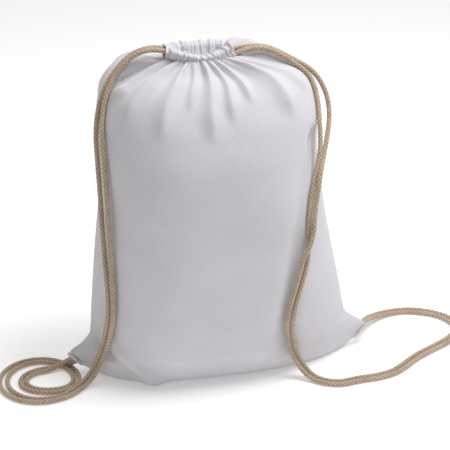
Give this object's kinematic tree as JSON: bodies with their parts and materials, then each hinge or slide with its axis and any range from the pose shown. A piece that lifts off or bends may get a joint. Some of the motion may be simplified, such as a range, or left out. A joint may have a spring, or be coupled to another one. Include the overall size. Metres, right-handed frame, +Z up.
{
  "type": "drawstring backpack",
  "caption": "Filled cotton drawstring backpack with a gathered mouth, cut bottom corners and doubled cord straps, one looped loosely and one coiled on the floor.",
  "frame": {"origin": "on the floor under the middle of the bag, with the straps left out of the box", "axes": "+Z up, -Y towards the bag's front, +Y towards the wearer's back, +X to the right seen from the front"},
  "size_m": [0.5549, 0.194, 0.3834],
  "materials": {
    "cotton_cloth": "bleached plain-weave cotton, matt with a faint sheen on its folds",
    "cotton_hem": "the same cotton, turned down double and gathered",
    "seam_allowance": "raw cotton edges, overlocked",
    "sewing_thread": "white spun thread in a lock stitch",
    "corner_tack": "dense white bar stitching over folded cotton",
    "cotton_cord": "unbleached beige cotton, round braid, slightly fuzzy"
  },
  "bodies": {
    "root": {"front_panel": "cotton_cloth", "back_panel": "cotton_cloth", "back_channel": "cotton_hem", "back_channel_stitch": "sewing_thread", "left_side_seam": "seam_allowance", "right_side_seam": "seam_allowance", "bottom_seam": "seam_allowance", "left_corner_tack": "corner_tack", "right_corner_tack": "corner_tack", "left_cord_back_run": "cotton_cord", "left_cord_turn": "cotton_cord", "right_cord_back_run": "cotton_cord", "right_cord_turn": "cotton_cord", "left_strap_coil": "cotton_cord", "left_strap_tails": "cotton_cord", "left_strap_front_strand": "cotton_cord", "left_strap_back_strand": "cotton_cord", "right_strap_front_strand": "cotton_cord", "right_strap_back_strand": "cotton_cord"},
    "front_lip": {"front_channel": "cotton_hem", "front_channel_stitch": "sewing_thread", "left_cord_front_run": "cotton_cord", "right_cord_front_run": "cotton_cord"}
  },
  "joints": [
    {"name": "front_lip_pull", "type": "slide", "parent": "root", "child": "front_lip", "axis": [0, -1, 0], "range_m": [0, 0.02]}
  ]
}
